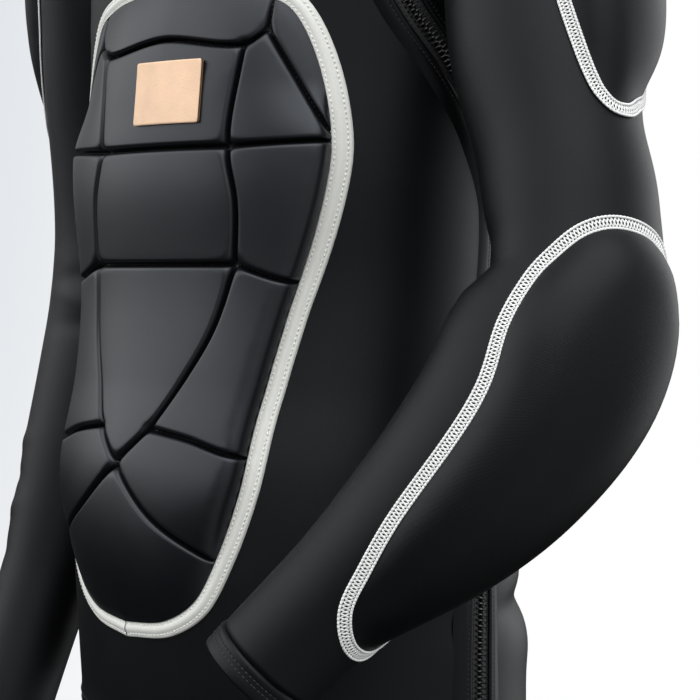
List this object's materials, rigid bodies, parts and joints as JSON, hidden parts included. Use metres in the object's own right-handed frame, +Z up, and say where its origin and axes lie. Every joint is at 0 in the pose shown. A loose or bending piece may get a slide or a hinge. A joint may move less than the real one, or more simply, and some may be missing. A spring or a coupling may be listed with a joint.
{
  "type": "armoured jacket",
  "caption": "Close-fitting long-sleeved sports jacket with a moulded chest and belly pad in a light bound edge, domed shoulder and elbow pads, a side zip and a bare leather patch.",
  "frame": {"origin": "middle of the neck opening, level with the top of the shoulders, where the jacket hangs from the wearer", "axes": "+Z up, the front faces -Y, the wearer's left arm is on the +X side"},
  "size_m": [0.5455, 0.3124, 0.7131],
  "materials": {
    "knit": "smooth matte stretch knit with a soft sheen",
    "pad_cloth": "moulded foam faced with smooth matte cloth",
    "binding": "light grey folded tape with two rows of stitches",
    "leather": "matte tan leather, bare",
    "zip_tape": "woven black tape",
    "zip_resin": "moulded black resin"
  },
  "bodies": {
    "root": {"yoke_front": "knit", "yoke_back": "knit", "body_front": "knit", "body_back": "knit", "sleeve_left": "knit", "sleeve_right": "knit", "cuff_left": "knit", "cuff_right": "knit", "neckband": "knit", "shoulder_pad_left": "knit", "shoulder_pad_right": "knit", "elbow_pad_left": "knit", "elbow_pad_right": "knit", "pad_base": "pad_cloth", "pad_top": "pad_cloth", "pad_plate": "pad_cloth", "pad_ribs": "pad_cloth", "pad_tongue": "pad_cloth", "pad_foot": "pad_cloth", "pad_collar_left": "pad_cloth", "pad_collar_right": "pad_cloth", "pad_breast_left": "pad_cloth", "pad_breast_right": "pad_cloth", "pad_flank_left": "pad_cloth", "pad_flank_right": "pad_cloth", "pad_waist_left": "pad_cloth", "pad_waist_right": "pad_cloth", "pad_belly_left": "pad_cloth", "pad_belly_right": "pad_cloth", "pad_binding": "binding", "patch": "leather", "zip_tape": "zip_tape", "zip_chain": "zip_resin", "zip_slider": "zip_resin"}
  },
  "joints": []
}
